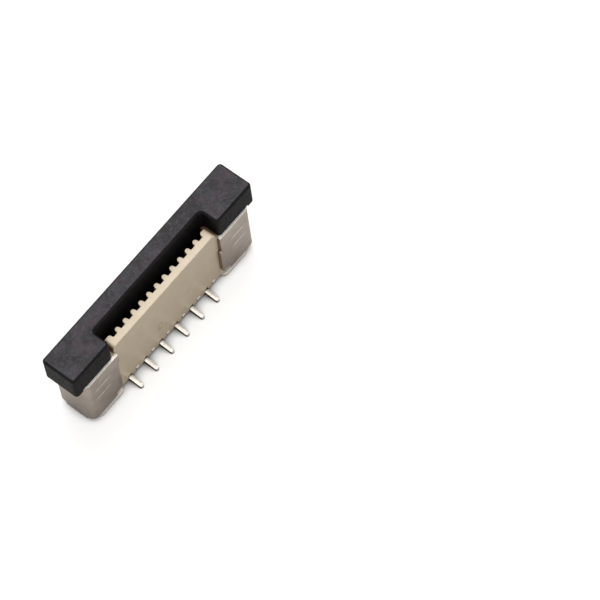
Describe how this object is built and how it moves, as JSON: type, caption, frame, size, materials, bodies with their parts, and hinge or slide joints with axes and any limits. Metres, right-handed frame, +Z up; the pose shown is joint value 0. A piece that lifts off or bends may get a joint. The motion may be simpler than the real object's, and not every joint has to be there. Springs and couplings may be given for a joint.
{
  "type": "fpc connector",
  "caption": "Upright surface-mount connector for a flat flexible cable, with a comb-walled slot, staggered solder tails, metal end caps and a slide lock that lifts to free the cable.",
  "frame": {"origin": "middle of the connector on the plane of the circuit board, under its bounding box", "axes": "+X along the row of contacts, -Y the comb side, +Y the plain back, +Z up off the board, the way the cable and the actuator come out"},
  "size_m": [0.0114, 0.003, 0.0046],
  "materials": {
    "housing_plastic": "moulded, satin",
    "actuator_plastic": "moulded, fine grain",
    "tinned_sheet": "matte tin plate with faint draw lines",
    "tinned_contact": "bright tin plate"
  },
  "bodies": {
    "connector_body": {"housing": "housing_plastic", "end_cap_left": "tinned_sheet", "end_cap_right": "tinned_sheet", "contact_01": "tinned_contact", "contact_02": "tinned_contact", "contact_03": "tinned_contact", "contact_04": "tinned_contact", "contact_05": "tinned_contact", "contact_06": "tinned_contact", "contact_07": "tinned_contact", "contact_08": "tinned_contact", "contact_09": "tinned_contact", "contact_10": "tinned_contact", "contact_11": "tinned_contact", "contact_12": "tinned_contact"},
    "slide_lock": {"actuator": "actuator_plastic"}
  },
  "joints": [
    {"name": "lock_slide", "type": "slide", "parent": "connector_body", "child": "slide_lock", "axis": [0, 0, 1], "range_m": [0, 0.0009]}
  ]
}
